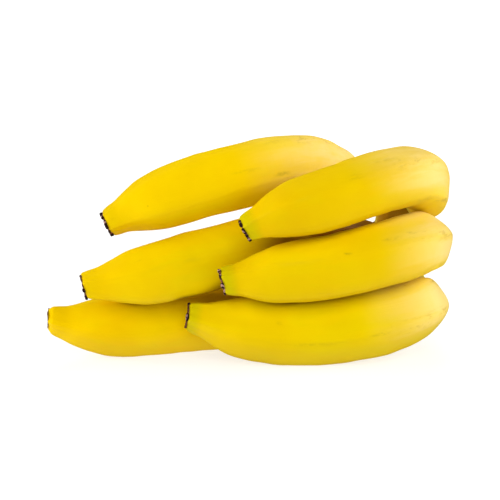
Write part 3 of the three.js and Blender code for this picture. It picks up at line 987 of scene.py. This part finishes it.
def crown_finish():
    """The crown: green-yellow rind, corky brown in patches, painted shade between the necks, and a dry
    fibrous cut.
    """
    crown = Finish("crown_rind")
    place = crown.own_place()
    cut, rear, crook = (crown.stored(f"crown_{name}") for name in ("cut", "rear", "crook"))
    broad = crown.noise(place, scale=70, detail=4, roughness=0.6)
    fibre = crown.noise(place, scale=800, detail=3, roughness=0.6, stretch=(1, 0.15, 1))
    rind = crown.mix(crown.between(broad, 0.35, 0.65), GREEN_RIND, YELLOW_RIND)
    cork = crown.between(broad + rear * 0.28 + (fibre - 0.5) * 0.3, 0.62, 0.85)
    rind = crown.mix(cork * 0.85, rind, CORK)
    # Painted shade on the rind between the necks at the front.
    rind = crown.mix(crook, rind, PAINTED_CROOK_SHADE)
    dots = crown.noise(place, scale=900, detail=4, roughness=0.7, stretch=(1, 0.4, 1))
    face = crown.mix(crown.between(dots, 0.35, 0.65), CUT_FIBRE, CUT_PITH)
    colour = crown.mix(cut, rind, face)
    return crown.surface(Base_Color=colour, Roughness=0.55 + cut * 0.3, Specular_IOR_Level=0.15,
                         Specular_Tint=(1, 0.85, 0.4, 1),
                         Normal=crown.bump(fibre * 0.6 + dots * cut, distance=0.5 * MM, strength=0.6))


def floor_finish():
    """A pale table, lit from within a little more towards its swept edge."""
    table = Finish("pale_table")
    place = table.own_place()
    grain = table.noise(place, scale=40, detail=2)
    colour = table.mix(grain, *TABLE_GREYS)
    away = table.node("ShaderNodeVectorMath", {"operation": "LENGTH"}, {"Vector": place}, output="Value")
    glow = table.mix(table.between(away, *GLOW_RISES), TABLE_GLOW, EDGE_GLOW)
    return table.surface(Base_Color=colour, Roughness=0.75, Specular_IOR_Level=0.1,
                         Emission_Color=glow, Emission_Strength=1.0)


# ---------------------------------------------------------------- stage


def make_floor():
    """A round table whose far edge sweeps up, so that no horizon shows behind the fruit."""
    angles = np.linspace(0, 2 * math.pi, FLOOR_SIDES, endpoint=False)
    circle = [(math.cos(a), math.sin(a)) for a in angles]
    points = [(radius * x, radius * y, height) for radius, height in FLOOR_SWEEP for x, y in circle]
    faces = [tuple(range(FLOOR_SIDES))]
    for i in range(len(FLOOR_SWEEP) - 1):
        for j in range(FLOOR_SIDES):
            a, b = i * FLOOR_SIDES + j, i * FLOOR_SIDES + (j + 1) % FLOOR_SIDES
            faces.append((a, a + FLOOR_SIDES, b + FLOOR_SIDES, b))
    mesh = bpy.data.meshes.new("floor")
    mesh.from_pydata(points, [], faces)
    mesh.materials.append(floor_finish())
    floor = in_scene("floor", mesh)
    floor.visible_glossy = False


def make_camera():
    """A camera in front of the hand that looks a little down on it."""
    rise = Vector((0, -math.cos(CAMERA_RISE), math.sin(CAMERA_RISE)))
    place = CAMERA_AIM + rise * CAMERA_DISTANCE - Vector(LAYOUT_MIDDLE)
    data = bpy.data.cameras.new("camera")
    data.lens = CAMERA_LENS
    data.sensor_width = CAMERA_SENSOR
    data.clip_start = CAMERA_NEAR * MM
    camera = bpy.data.objects.new("camera", data)
    camera.location = place * MM
    camera.rotation_euler = (math.pi / 2 - CAMERA_RISE, 0, 0)
    bpy.context.scene.collection.objects.link(camera)
    bpy.context.scene.camera = camera


def make_softbox(name, place, aim, size, watts, sheen=False):
    """A soft rectangular light, which either lights the fruit or only adds a sheen to it."""
    data = bpy.data.lights.new(name, "AREA")
    data.shape = "RECTANGLE"
    data.size, data.size_y = size
    data.energy = watts
    data.cycles.use_multiple_importance_sampling = False
    light = bpy.data.objects.new(name, data)
    light.location = place
    light.rotation_euler = (Vector(aim) - Vector(place)).to_track_quat("-Z", "Y").to_euler()
    light.visible_glossy = sheen
    light.visible_diffuse = not sheen
    bpy.context.scene.collection.objects.link(light)


def make_light():
    """Four softboxes round the table, one more for the sheen, and an even glow from all round."""
    world = bpy.data.worlds.new("studio")
    bpy.context.scene.world = world
    world.use_nodes = True
    glow = world.node_tree.nodes["Background"].inputs
    glow["Color"].default_value = (1, 1, 1, 1)
    glow["Strength"].default_value = STUDIO_GLOW
    world.cycles_visibility.glossy = False
    for name, (place, watts) in SOFTBOXES.items():
        make_softbox(name, place, SOFTBOX_AIM, SOFTBOX_SIZE, watts)
    make_softbox("sheen", SHEEN_PLACE, SHEEN_AIM, SHEEN_SIZE, SHEEN_WATTS, sheen=True)
    bpy.context.scene.view_settings.view_transform = "Standard"


# ---------------------------------------------------------------- making

make_camera()
ripe_peel = peel_finish()
dried_blossom = blossom_finish()
for number, name in enumerate(FINGERS):
    make_finger(name, number, ripe_peel)
    make_blossom(name, number, dried_blossom)
make_crown(crown_finish())
make_floor()
make_light()
